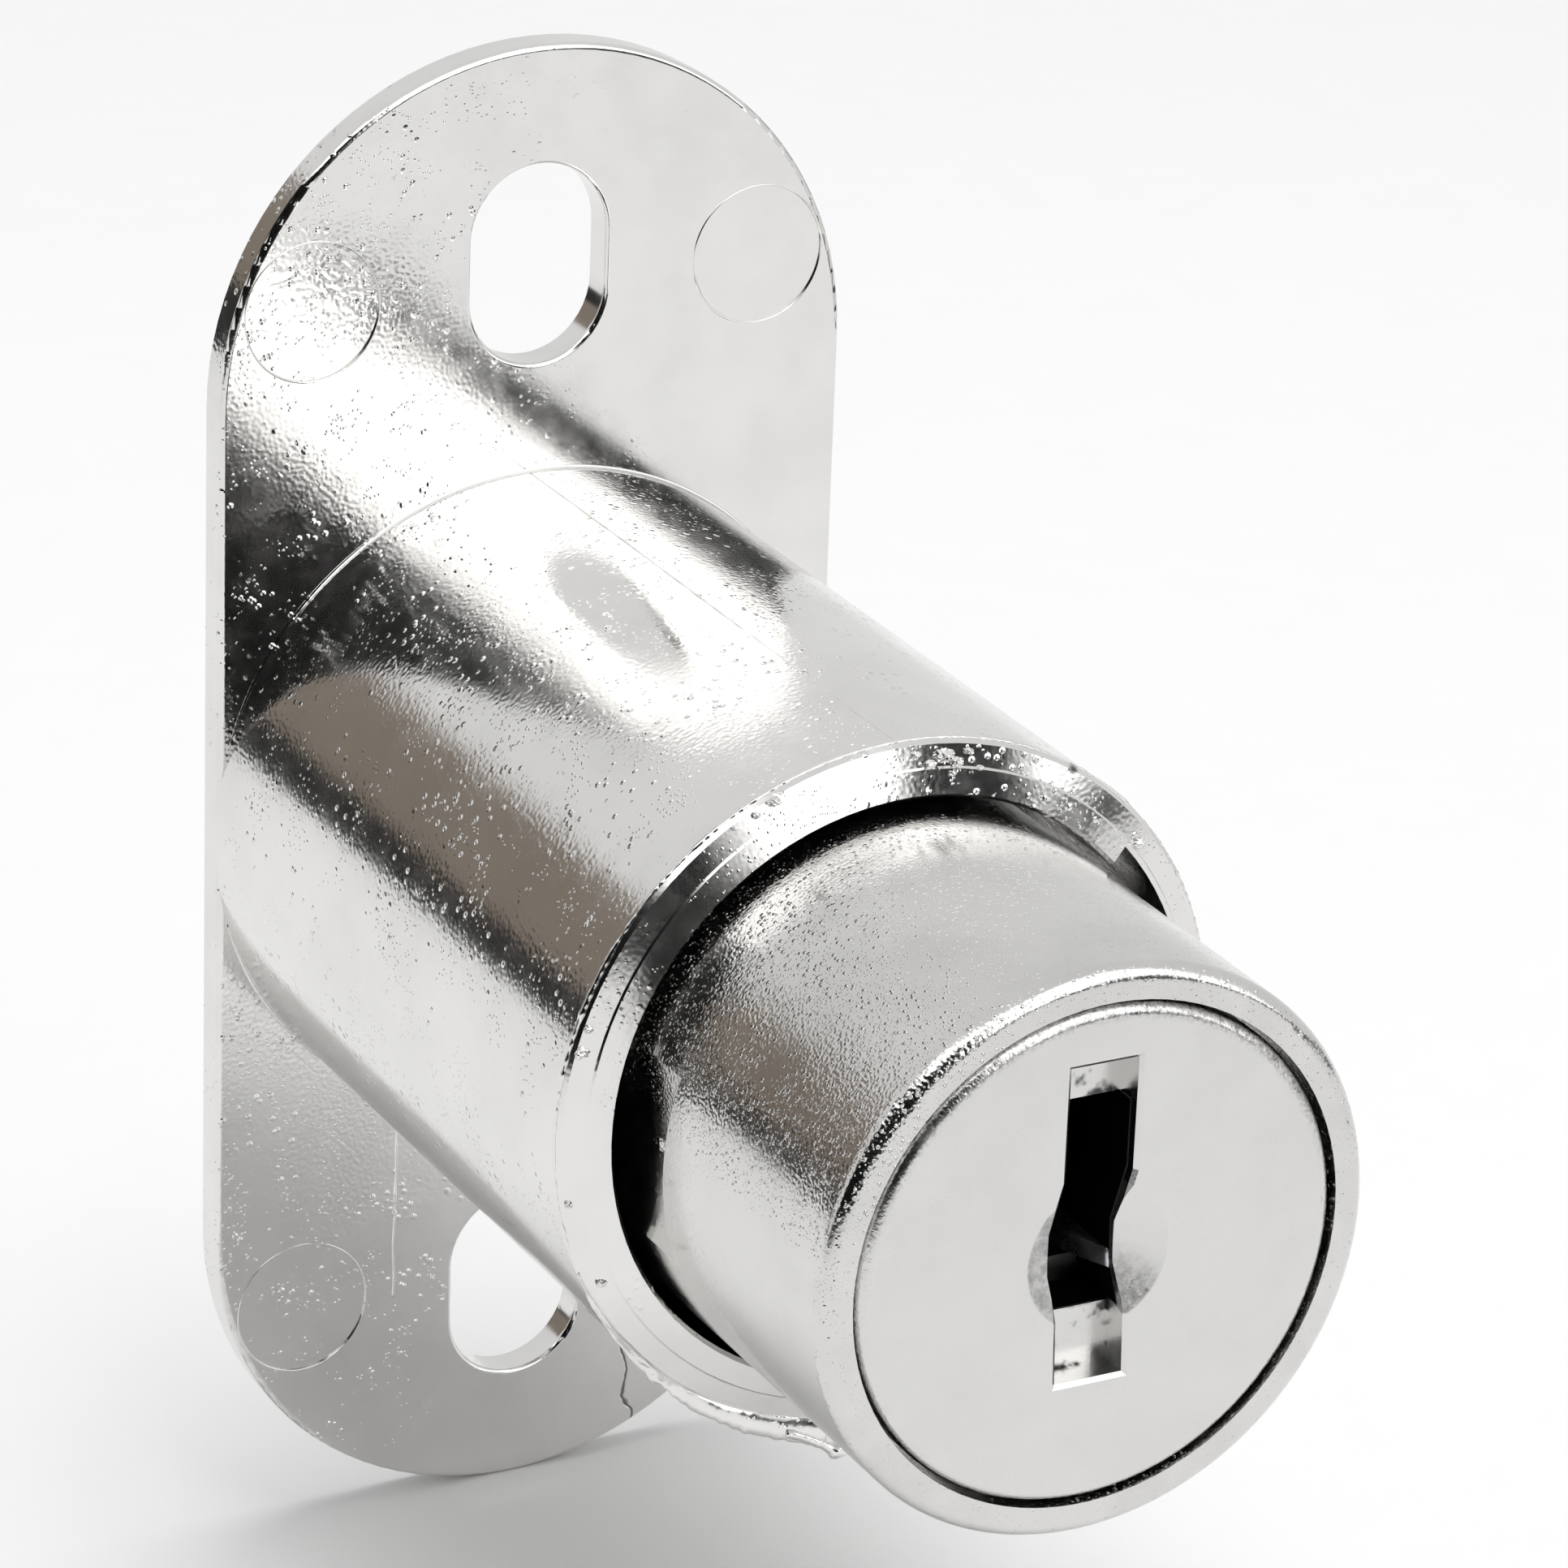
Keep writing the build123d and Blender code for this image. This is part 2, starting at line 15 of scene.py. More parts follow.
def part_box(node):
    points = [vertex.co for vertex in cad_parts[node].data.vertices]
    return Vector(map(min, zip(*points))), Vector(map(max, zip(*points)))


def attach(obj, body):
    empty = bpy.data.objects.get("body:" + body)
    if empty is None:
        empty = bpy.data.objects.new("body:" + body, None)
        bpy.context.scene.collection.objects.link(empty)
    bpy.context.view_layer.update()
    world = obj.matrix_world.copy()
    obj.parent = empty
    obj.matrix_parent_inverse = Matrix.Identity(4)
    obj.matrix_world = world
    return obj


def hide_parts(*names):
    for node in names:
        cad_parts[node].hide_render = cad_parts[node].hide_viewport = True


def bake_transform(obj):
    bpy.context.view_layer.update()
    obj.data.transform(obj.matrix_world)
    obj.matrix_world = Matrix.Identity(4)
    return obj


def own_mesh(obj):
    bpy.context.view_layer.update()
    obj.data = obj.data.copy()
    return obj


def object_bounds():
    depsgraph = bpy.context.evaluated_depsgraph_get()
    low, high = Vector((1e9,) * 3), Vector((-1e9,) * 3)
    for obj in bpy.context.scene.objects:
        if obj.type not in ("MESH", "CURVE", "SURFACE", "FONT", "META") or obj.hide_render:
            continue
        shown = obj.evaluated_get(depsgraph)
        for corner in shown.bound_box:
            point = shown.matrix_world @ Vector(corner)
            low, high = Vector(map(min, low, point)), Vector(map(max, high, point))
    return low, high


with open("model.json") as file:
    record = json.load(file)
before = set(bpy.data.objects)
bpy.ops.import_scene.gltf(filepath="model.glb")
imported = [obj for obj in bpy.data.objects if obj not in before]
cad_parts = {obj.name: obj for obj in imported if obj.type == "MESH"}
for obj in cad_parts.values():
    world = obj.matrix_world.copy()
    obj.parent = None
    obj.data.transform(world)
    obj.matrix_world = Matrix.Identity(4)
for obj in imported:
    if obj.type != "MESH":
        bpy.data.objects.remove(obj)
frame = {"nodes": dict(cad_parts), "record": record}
CAD_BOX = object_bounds()

MM = 0.001
HOUSING = "housing_body"
PLUNGER = "plunger"
PLUG_CORE = "plug_core"

# Sizes taken from the frame
HOUSING_LOW, HOUSING_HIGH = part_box("housing")
BODY_RADIUS = HOUSING_HIGH[0]
RIM_Y = HOUSING_LOW[1]
FACE_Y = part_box("barrel")[0][1]
SIDE_LIMIT = CAD_BOX[1][0]
FLOOR_Z = CAD_BOX[0][2]

# Ejector pin marks, one towards each corner of the flange
EJECTOR_X = 7.8 * MM
EJECTOR_Z = 17.3 * MM
EJECTOR_RADIUS = 2.3 * MM

# The front rim slopes forward from its outer edge, which lies RIM_DROP behind its foremost point
RIM_SLOPE = 0.25
RIM_DROP = 0.395 * MM

# Springs
SPRING_TURNS = 5
CLOSED_TURNS = 0.75
RETURN_WIRE_RADIUS = 0.4 * MM
WAFER_WIRE_RADIUS = 0.1 * MM
WAFER_COUNT = 5
LEAF_THICKNESS = 0.2 * MM
LEAF_EDGE = 0.05 * MM

# Flat along the plunger's left side
FLAT_X = -8.4 * MM

# Camera
CAMERA_AIM = Vector((-0.0007, -0.0188, 0.0075))
CAMERA_DISTANCE = 0.213
CAMERA_AZIMUTH = -28.49
CAMERA_ELEVATION = 22.6
CAMERA_ROLL = 2.2
CAMERA_LENS_MM = 163.4
CAMERA_SENSOR_MM = 36.0

# Studio
TABLE_HALF_SIZE = 0.22
TENT_FILL = 0.45
LAMP_POWER = 2.6


# ---------------------------------------------------------------- node helpers


class Graph:
    """Short calls for building a shader node tree."""

    def __init__(self, tree):
        self.tree = tree
        tree.nodes.clear()

    def node(self, kind, **settings):
        made = self.tree.nodes.new(kind)
        for key, value in settings.items():
            setattr(made, key, value)
        return made

    def link(self, source, target):
        self.tree.links.new(source, target)

    def feed(self, socket, value):
        """Link a socket, or set a plain value on it."""
        if isinstance(value, bpy.types.NodeSocket):
            self.link(value, socket)
        else:
            socket.default_value = value

    def math(self, operation, first, second=None, third=None):
        made = self.node("ShaderNodeMath", operation=operation)
        self.feed(made.inputs[0], first)
        if second is not None:
            self.feed(made.inputs[1], second)
        if third is not None:
            self.feed(made.inputs[2], third)
        return made.outputs[0]

    def times(self, first, second):
        return self.math("MULTIPLY", first, second)

    def ramp(self, value, low, high, to_low=0.0, to_high=1.0):
        """Smooth step from to_low to to_high as value goes from low to high."""
        made = self.node("ShaderNodeMapRange", interpolation_type="SMOOTHSTEP")
        self.feed(made.inputs["Value"], value)
        made.inputs["From Min"].default_value = low
        made.inputs["From Max"].default_value = high
        made.inputs["To Min"].default_value = to_low
        made.inputs["To Max"].default_value = to_high
        return made.outputs["Result"]

    def mix(self, factor, first, second):
        made = self.node("ShaderNodeMix", data_type="RGBA")
        self.feed(made.inputs["Factor"], factor)
        self.feed(made.inputs["A"], first)
        self.feed(made.inputs["B"], second)
        return made.outputs["Result"]

    def noise(self, place, scale, detail=2.0, roughness=0.5, distortion=0.0):
        made = self.node("ShaderNodeTexNoise")
        self.feed(made.inputs["Vector"], place)
        made.inputs["Scale"].default_value = scale
        made.inputs["Detail"].default_value = detail
        made.inputs["Roughness"].default_value = roughness
        made.inputs["Distortion"].default_value = distortion
        return made.outputs["Fac"]

    def cells(self, place, scale):
        """Distance to the nearest cell centre."""
        made = self.node("ShaderNodeTexVoronoi")
        self.feed(made.inputs["Vector"], place)
        made.inputs["Scale"].default_value = scale
        return made.outputs["Distance"]

    def split(self, place):
        made = self.node("ShaderNodeSeparateXYZ")
        self.link(place, made.inputs[0])
        return made.outputs

    def distance(self, place, centre):
        made = self.node("ShaderNodeVectorMath", operation="DISTANCE")
        self.link(place, made.inputs[0])
        made.inputs[1].default_value = centre
        return made.outputs["Value"]

    def near(self, place, centre, inner, outer):
        """One within the inner radius of a spot, falling to nothing at the outer radius."""
        return self.ramp(self.distance(place, centre), inner, outer, 1.0, 0.0)

    def stretched(self, place, factors, turn=(0.0, 0.0, 0.0)):
        made = self.node("ShaderNodeMapping")
        self.feed(made.inputs["Vector"], place)
        made.inputs["Scale"].default_value = factors
        made.inputs["Rotation"].default_value = [math.radians(angle) for angle in turn]
        return made.outputs["Vector"]


def grey(value, tint=(1.0, 1.0, 1.0)):
    """Opaque colour of one brightness, with an optional tint."""
    return (value * tint[0], value * tint[1], value * tint[2], 1.0)


# ---------------------------------------------------------------- materials


def plated(
    name,
    tone,
    dull,
    roughness,
    wave=0.0,
    grain=0.0,
    grain_size=0.14,
    beads=0.0,
    bead_pitch=0.5,
    bead_cover=0.47,
    scratch=0.0,
    coarse=None,
    marks=None,
):
    """Bright plate over a metal.

    wave, grain, beads and scratch are bump heights in millimetres: slow waves of the surface,
    close orange peel, scattered raised dots, and fine polishing lines.  grain_size and
    bead_pitch are in millimetres too, and a lower bead_cover spreads the dots further.
    coarse(graph, place) says where the grain and the beads are strong.
    marks(graph, place, colour, haze, height) adds what one piece alone shows, and returns the
    last three again.
    """
    material = bpy.data.materials.new(name)
    material.use_nodes = True
    graph = Graph(material.node_tree)
    place = graph.node("ShaderNodeTexCoord").outputs["Object"]

    height = graph.times(graph.noise(place, 150.0, 1.0), wave * MM)
    strong = coarse(graph, place) if coarse else 1.0
    if grain:
        close = graph.noise(place, 1.0 / (grain_size * MM), 0.0)
        patch = graph.ramp(graph.noise(place, 240.0, 2.0, 0.6), 0.3, 0.7, 0.4, 1.6)
        patch = graph.times(patch, strong)
        height = graph.math("MULTIPLY_ADD", graph.times(close, patch), grain * MM, height)
    if beads:
        for pitch, spread in ((bead_pitch, 380.0), (bead_pitch * 0.45, 620.0)):
            dot = graph.ramp(graph.cells(place, 1.0 / (pitch * MM)), 0.08, 0.3, 1.0, 0.0)
            patches = graph.noise(place, spread, 2.0, 0.7)
            cluster = graph.ramp(patches, bead_cover, bead_cover + 0.13)
            raised = graph.times(graph.times(dot, cluster), strong)
            height = graph.math("MULTIPLY_ADD", raised, beads * MM * pitch / bead_pitch, height)
    if scratch:
        along = graph.stretched(place, (1.0, 1.0, 0.08), (0.0, 31.0, 12.0))
        lines = graph.noise(along, 6000.0, 2.0, 0.7)
        height = graph.math("MULTIPLY_ADD", lines, scratch * MM, height)

    cloud = graph.ramp(graph.noise(place, 260.0, 4.0, 0.6), 0.35, 0.7)
    colour = graph.mix(cloud, tone, dull)
    low_haze, high_haze = roughness * 0.8, roughness * 1.25
    haze = graph.ramp(graph.noise(place, 900.0, 3.0, 0.6), 0.3, 0.75, low_haze, high_haze)
    if marks:
        colour, haze, height = marks(graph, place, colour, haze, height)

    bump = graph.node("ShaderNodeBump")
    bump.inputs["Strength"].default_value = 1.0
    bump.inputs["Distance"].default_value = 1.0
    graph.link(height, bump.inputs["Height"])
    shader = graph.node("ShaderNodeBsdfPrincipled")
    shader.inputs["Metallic"].default_value = 1.0
    graph.link(colour, shader.inputs["Base Color"])
    graph.link(haze, shader.inputs["Roughness"])
    graph.link(bump.outputs["Normal"], shader.inputs["Normal"])
    output = graph.node("ShaderNodeOutputMaterial")
    graph.link(shader.outputs["BSDF"], output.inputs["Surface"])
    return material


def coarse_housing(graph, place):
    """The body and the flange's left are coarse, and the flange's right is nearly clean."""
    x, y, z = graph.split(place)
    on_left = graph.ramp(x, 1.0 * MM, -6.0 * MM, 0.12, 1.0)
    on_round = graph.ramp(y, -0.15 * MM, -0.6 * MM)
    on_rim = graph.ramp(y, RIM_Y + 0.9 * MM, RIM_Y + 0.7 * MM)
    upper = graph.ramp(z, -6.0 * MM, 1.0 * MM, 0.3, 1.0)
    flange = graph.times(on_left, graph.math("SUBTRACT", 1.0, on_round))
    body = graph.times(graph.math("SUBTRACT", on_round, on_rim), upper)
    rim = graph.times(on_rim, 0.4)
    return graph.math("MAXIMUM", graph.math("MAXIMUM", flange, body), rim)


def coarse_barrel(graph, place):
    """The plunger's upper left and its front edge are coarse, and the rest is nearly smooth."""
    x, y, z = graph.split(place)
    upper = graph.ramp(z, 0.5 * MM, 4.0 * MM, 0.08, 1.0)
    left = graph.ramp(x, -1.0 * MM, -6.0 * MM, 0.25, 1.0)
    front_edge = graph.ramp(y, FACE_Y + 0.75 * MM, FACE_Y + 0.4 * MM, 0.0, 0.3)
    return graph.math("MAXIMUM", graph.times(upper, left), front_edge)


def housing_marks(graph, place, colour, haze, height):
    """Hairline crack low on the flange, a nick in the rim, and swirls in an ejector mark."""
    wander = graph.math("MULTIPLY_ADD", graph.noise(place, 900.0, 2.0), 0.9 * MM, -0.45 * MM)
    x, y, z = graph.split(place)
    # Both marks stay on the flange's front face
    before_back = graph.ramp(y, 0.4 * MM, 0.2 * MM)
    on_face = graph.times(graph.ramp(y, -0.3 * MM, -0.1 * MM), before_back)
    # The crack leans to the right on its way down to the flange's edge
    lean = graph.math("MULTIPLY_ADD", z, -0.12, 1.55 * MM)
    off_line = graph.math("ABSOLUTE", graph.math("ADD", graph.math("SUBTRACT", x, lean), wander))
    crack = graph.times(graph.ramp(off_line, 0.01 * MM, 0.07 * MM, 0.8, 0.0), on_face)
    crack = graph.times(crack, graph.ramp(z, -19.2 * MM, -19.8 * MM))
    nick = graph.near(place, (5.85 * MM, RIM_Y + 0.35 * MM, 9.3 * MM), 0.12 * MM, 0.3 * MM)
    stain = graph.math("MAXIMUM", crack, nick)
    colour = graph.mix(stain, colour, grey(0.02))
    height = graph.math("MULTIPLY_ADD", stain, -0.03 * MM, height)
    # Brushed swirl inside the upper left mark
    middle = (-EJECTOR_X, 0.0, EJECTOR_Z)
    inside = graph.near(place, middle, 1.9 * MM, 2.2 * MM)
    swirl = graph.node("ShaderNodeTexWave", wave_type="RINGS", rings_direction="Y")
    graph.link(place, swirl.inputs["Vector"])
    swirl.inputs["Scale"].default_value = 900.0
    swirl.inputs["Distortion"].default_value = 14.0
    swirl.inputs["Detail"].default_value = 2.0
    brushed = graph.times(graph.times(swirl.outputs["Fac"], inside), on_face)
    height = graph.math("MULTIPLY_ADD", brushed, 0.003 * MM, height)
    return colour, haze, height


def plug_marks(graph, place, colour, haze, height):
    """Painted shade inside the keyway, dark blotches on its end steps, and a rough centre dimple
    darkened by painted shade on its left and lower right.
    """
    x, y, z = graph.split(place)
    # Painted shade: the keyway's deep end and its inner walls are coloured near black and made
    # fully rough
    deep = graph.ramp(y, FACE_Y + 1.02 * MM, FACE_Y + 1.1 * MM)
    walls = graph.ramp(y, FACE_Y + 0.34 * MM, FACE_Y + 0.5 * MM)
    off_middle = graph.math("ABSOLUTE", graph.math("SUBTRACT", z, 1.3 * MM))
    between = graph.ramp(off_middle, 3.2 * MM, 3.3 * MM, 1.0, 0.0)
    deep = graph.math("MAXIMUM", deep, graph.times(walls, between))
    in_slot = graph.ramp(graph.math("ABSOLUTE", x), 2.1 * MM, 2.2 * MM, 1.0, 0.0)
    painted_keyway_shade = graph.times(deep, in_slot)
    # Dark noisy blotches on the keyway's end steps, more than 0.95 mm behind the face
    in_step = graph.ramp(y, FACE_Y + 0.7 * MM, FACE_Y + 0.95 * MM)
    blotch_noise = graph.ramp(graph.noise(place, 900.0, 3.0, 0.7), 0.5, 0.66)
    keyway_blotches = graph.times(blotch_noise, in_step)
    keyway_blotches = graph.times(keyway_blotches, in_slot)
    # Centre dimple: rougher and pitted, and darkened as painted shade on its left side and its
    # lower right, as a hollow is shaded
    dimple = graph.near(place, (0.0, FACE_Y, 0.0), 2.25 * MM, 2.33 * MM)
    lower = graph.ramp(graph.math("MULTIPLY_ADD", x, 0.8, z), 1.3 * MM, -0.3 * MM)
    right = graph.ramp(x, -0.3 * MM, 0.5 * MM)
    painted_shade_and_pits = graph.math("SUBTRACT", 1.0, graph.times(right, graph.math("SUBTRACT", 1.0, lower)))
    uneven = graph.ramp(graph.noise(place, 2600.0, 3.0, 0.7), 0.3, 0.7, 0.2, 0.8)
    painted_shade_and_pits = graph.times(painted_shade_and_pits, uneven)
    colour = graph.mix(graph.times(dimple, painted_shade_and_pits), colour, grey(0.24, WARM))
    colour = graph.mix(keyway_blotches, colour, grey(0.08))
    colour = graph.mix(painted_keyway_shade, colour, grey(0.004))
    haze = graph.math("MULTIPLY_ADD", dimple, 0.1, haze)
    haze = graph.math("MAXIMUM", haze, painted_keyway_shade)
    pitted = graph.times(dimple, painted_shade_and_pits)
    pits = graph.times(graph.noise(place, 4200.0, 1.0, 0.5), pitted)
    height = graph.math("MULTIPLY_ADD", pits, 0.045 * MM, height)
    # A worn band just inside the head's edge
    radius = graph.distance(place, (0.0, FACE_Y, 0.0))
    band = graph.ramp(radius, 7.2 * MM, 7.5 * MM)
    edge = graph.times(graph.noise(place, 6000.0, 2.0, 0.6), band)
    height = graph.math("MULTIPLY_ADD", edge, 0.016 * MM, height)
    # Dark flecks on the band, only on its upper part
    flecks = graph.ramp(graph.noise(place, 7500.0, 2.0, 0.6), 0.38, 0.68, 0.0, 0.6)
    above = graph.ramp(z, 1.0 * MM, 4.5 * MM)
    upper_band = graph.times(graph.times(flecks, band), above)
    colour = graph.mix(upper_band, colour, grey(0.1))
    return colour, haze, height


WARM = (1.0, 0.99, 0.97)
COOL = (0.97, 0.985, 1.0)


def make_materials():
    """Every finish, by the record's slot name."""
    return {
        "housing_plating": plated(
            "housing plate",
            grey(0.78, WARM),
            grey(0.73, WARM),
            0.13,
            wave=0.014,
            grain=0.0045,
            grain_size=0.15,
            beads=0.026,
            bead_pitch=0.42,
            coarse=coarse_housing,
            marks=housing_marks,
        ),
        "barrel_plating": plated(
            "barrel plate",
            grey(0.70, WARM),
            grey(0.64, WARM),
            0.16,
            wave=0.008,
            grain=0.013,
            grain_size=0.11,
            beads=0.042,
            bead_pitch=0.24,
            bead_cover=0.3,
            coarse=coarse_barrel,
        ),
        "plug_plating": plated(
            "plug plate",
            grey(0.70, WARM),
            grey(0.67, WARM),
            0.24,
            grain=0.0022,
            grain_size=0.1,
            marks=plug_marks,
        ),
        "cast_zinc": plated(
            "cast zinc",
            grey(0.52, COOL),
            grey(0.42, COOL),
            0.42,
            wave=0.01,
            grain=0.02,
            beads=0.012,
        ),
        "zinc_plated_steel": plated(
            "zinc plate", grey(0.66, COOL), grey(0.56, COOL), 0.3, grain=0.004, scratch=0.002
        ),
        "spring_steel": plated(
            "spring wire", grey(0.4, COOL), grey(0.3, COOL), 0.28, grain=0.002, scratch=0.002
        ),
        "pin_steel": plated("pin steel", grey(0.55, COOL), grey(0.48, COOL), 0.25, scratch=0.001),
        "bolt_steel": plated(
            "bolt steel", grey(0.7, COOL), grey(0.62, COOL), 0.2, grain=0.003, scratch=0.003
        ),
        "latch_steel": plated(
            "latch steel", grey(0.45, COOL), grey(0.36, COOL), 0.38, grain=0.008, beads=0.006
        ),
        # Painted shade: the wafers' base colour is kept dark to stand for the shade inside the lock
        "wafer_metal": plated(
            "wafer metal painted dark for shade", grey(0.3, WARM), grey(0.22, WARM), 0.35, grain=0.003, scratch=0.002
        ),
    }


def dress_nodes(finishes):
    """Give every CAD node the finish of its record slot."""
    for part in frame["record"]["subparts"]:
        node = frame["nodes"][part["node"]]
        node.data.materials.clear()
        node.data.materials.append(finishes[part["material_slot"]])


# ---------------------------------------------------------------- cast and plated details


def on_body(radius, angle, station):
    """Point at a radius, a plan angle in degrees and a distance in front of the flange."""
    turn = math.radians(angle)
    return Vector((radius * math.cos(turn), -station, radius * math.sin(turn)))


def within_side(point):
    """The same point, kept inside the part's width."""
    point.x = max(-SIDE_LIMIT, min(SIDE_LIMIT, point.x))
    return point


def place_piece(name, mesh, slot):
    """Put a finished mesh into the scene with a slot's finish."""
    for face in mesh.polygons:
        face.use_smooth = True
    mesh.materials.append(finishes[slot])
    piece = bpy.data.objects.new(name, mesh)
    bpy.context.scene.collection.objects.link(piece)
    return piece


def add_piece(name, mesh, body, slot):
    """Put a finished mesh into the scene, riding on a body."""
    piece = place_piece(name, mesh, slot)
    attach(piece, body)
    return piece


def skin_sections(name, sections, closed):
    """Mesh that joins equal rings of points in order, capped at both ends if it is open."""
    made = bmesh.new()
    rings = [[made.verts.new(point) for point in section] for section in sections]
    count = len(rings[0])
    pairs = list(zip(rings, rings[1:]))
    if closed:
        pairs.append((rings[-1], rings[0]))
    for first, second in pairs:
        for index in range(count):
            after = (index + 1) % count
            made.faces.new((first[index], first[after], second[after], second[index]))
    if not closed:
        made.faces.new(rings[0][::-1])
        made.faces.new(rings[-1])
    bmesh.ops.recalc_face_normals(made, faces=made.faces)
    mesh = bpy.data.meshes.new(name)
    made.to_mesh(mesh)
    made.free()
    return mesh


def ring_of(centre, along, away, radius, squash=1.0, sides=10):
    """Round section across a path; squash shortens it along away."""
    across = along.cross(away).normalized()
    away = across.cross(along).normalized()
    section = []
    for side in range(sides):
        turn = math.tau * side / sides
        offset = across * math.cos(turn) + away * math.sin(turn) * squash
        section.append(within_side(centre + offset * radius))
    return section


def bead_line(name, path, radii, away, closed=False, squash=1.0):
    """Rounded bead along a path, with its own radius at each point."""
    sections = []
    last = len(path) - 1
    for index, point in enumerate(path):
        before = path[index - 1] if closed or index > 0 else point
        after = path[(index + 1) % len(path)] if closed or index < last else point
        along = (after - before).normalized()
        sections.append(ring_of(point, along, away(point), radii[index], squash))
    return skin_sections(name, sections, closed)


def jitter(place, scale, seed):
    """Repeatable value between about -1 and 1 at a place."""
    return noise.noise(place * scale + Vector((seed * 7.31, seed * 3.17, seed * 5.53)))


def lump(name, centre, facing, size, height, seed):
    """Rough nodule that sits half sunk in a surface."""
    made = bmesh.new()
    bmesh.ops.create_icosphere(made, subdivisions=4, radius=1.0)
    turn = facing.to_track_quat("Z", "Y").to_matrix()
    for vert in made.verts:
        rough = 1.0 + 0.45 * jitter(vert.co, 1.6, seed) + 0.2 * jitter(vert.co, 4.5, seed + 1)
        shape = vert.co * rough
        local = Vector((shape.x * size, shape.y * size * 0.7, shape.z * height))
        vert.co = within_side(centre + turn @ local)
    mesh = bpy.data.meshes.new(name)
    made.to_mesh(mesh)
    made.free()
    return mesh


def make_root_fillets():
    """Small concave fillet where the body leaves the flange, above and below."""
    fillet = 0.09 * MM
    sunk = 0.12 * MM
    steps = 7
    sweep = 148
    for name, start in (("root_fillet_upper", 16), ("root_fillet_lower", 196)):
        sections = []
        for degree in range(start, start + sweep + 1):
            share = (degree - start) / sweep
            size = fillet * (0.15 + 0.85 * min(1.0, 12 * share, 12 * (1 - share)))
            section = [on_body(BODY_RADIUS - sunk, degree, -sunk)]
            for step in range(steps):
                turn = math.pi / 2 * step / (steps - 1)
                radius = BODY_RADIUS + size * (1 - math.cos(turn))
                section.append(on_body(radius, degree, size * (1 - math.sin(turn))))
            sections.append(section)
        add_piece(name, skin_sections(name, sections, False), HOUSING, "housing_plating")


def make_parting_ridge():
    """Fine raised line that the die left along the top of the body."""
    steps = 120
    path = []
    radii = []
    for step in range(steps + 1):
        station = 0.2 * MM + (-RIM_Y - 0.75 * MM) * step / steps
        angle = 91.0 + 0.25 * jitter(Vector((0, station, 0)), 250.0, 1)
        path.append(on_body(BODY_RADIUS - 0.01 * MM, angle, station))
        radii.append(MM * (0.036 + 0.02 * jitter(Vector((0, station, 0)), 1400.0, 2)))
    mesh = bead_line("parting_ridge", path, radii, lambda point: Vector((0, 0, 1)), squash=0.55)
    add_piece("parting_ridge", mesh, HOUSING, "housing_plating")


def make_plate_ridge():
    """Fainter parting line down the lower left of the flange."""
    top = -11.2 * MM
    drop = 6.4 * MM
    steps = 60
    path = []
    radii = []
    for step in range(steps + 1):
        height = top - drop * step / steps
        wander = 0.06 * MM * jitter(Vector((height, 0, 0)), 900.0, 3)
        path.append(Vector((-4.5 * MM + wander, 0.012 * MM, height)))
        radii.append(MM * (0.05 + 0.03 * jitter(Vector((height, 0, 0)), 1500.0, 4)))
    mesh = bead_line("plate_ridge", path, radii, lambda point: Vector((0, -1, 0)))
    add_piece("plate_ridge", mesh, HOUSING, "housing_plating")


def make_ejector_lips():
    """Thin uneven lip round each ejector pin mark."""
    corners = {
        "upper_right": (1, 1),
        "upper_left": (-1, 1),
        "lower_right": (1, -1),
        "lower_left": (-1, -1),
    }
    steps = 180
    for seed, (corner, (side_x, side_z)) in enumerate(corners.items()):
        middle = Vector((side_x * EJECTOR_X, 0.0, side_z * EJECTOR_Z))
        path = []
        radii = []
        for step in range(steps):
            spoke = on_body(EJECTOR_RADIUS, 360 * step / steps, 0.0)
            path.append(middle + spoke + Vector((0, 0.015 * MM, 0)))
            radii.append(MM * (0.034 + 0.018 * jitter(path[-1], 900.0, seed + 5)))
        name = f"ejector_lip_{corner}"
        mesh = bead_line(name, path, radii, lambda point: Vector((0, -1, 0)), closed=True)
        add_piece(name, mesh, HOUSING, "housing_plating")


def make_rim_flash():
    """Ragged flash round the body's front edge, heaviest on the left and below."""
    steps = 1080
    path = []
    radii = []
    rim_station = -RIM_Y - 0.58 * MM
    for step in range(steps):
        angle = 360 * step / steps
        spot = on_body(BODY_RADIUS, angle, rim_station)
        heavy = max(0.0, math.cos(math.radians(angle - 215)))
        coarse = max(0.0, jitter(spot, 700.0, 11))
        fine = abs(jitter(spot, 3200.0, 12))
        size = 0.035 + 0.05 * fine + (0.05 + 0.13 * heavy) * coarse
        path.append(on_body(BODY_RADIUS - 0.03 * MM, angle, rim_station - 0.02 * MM))
        radii.append(size * MM)
    mesh = bead_line("rim_flash", path, radii, lambda point: Vector((0, -1, 0)), closed=True)
    add_piece("rim_flash", mesh, HOUSING, "housing_plating")


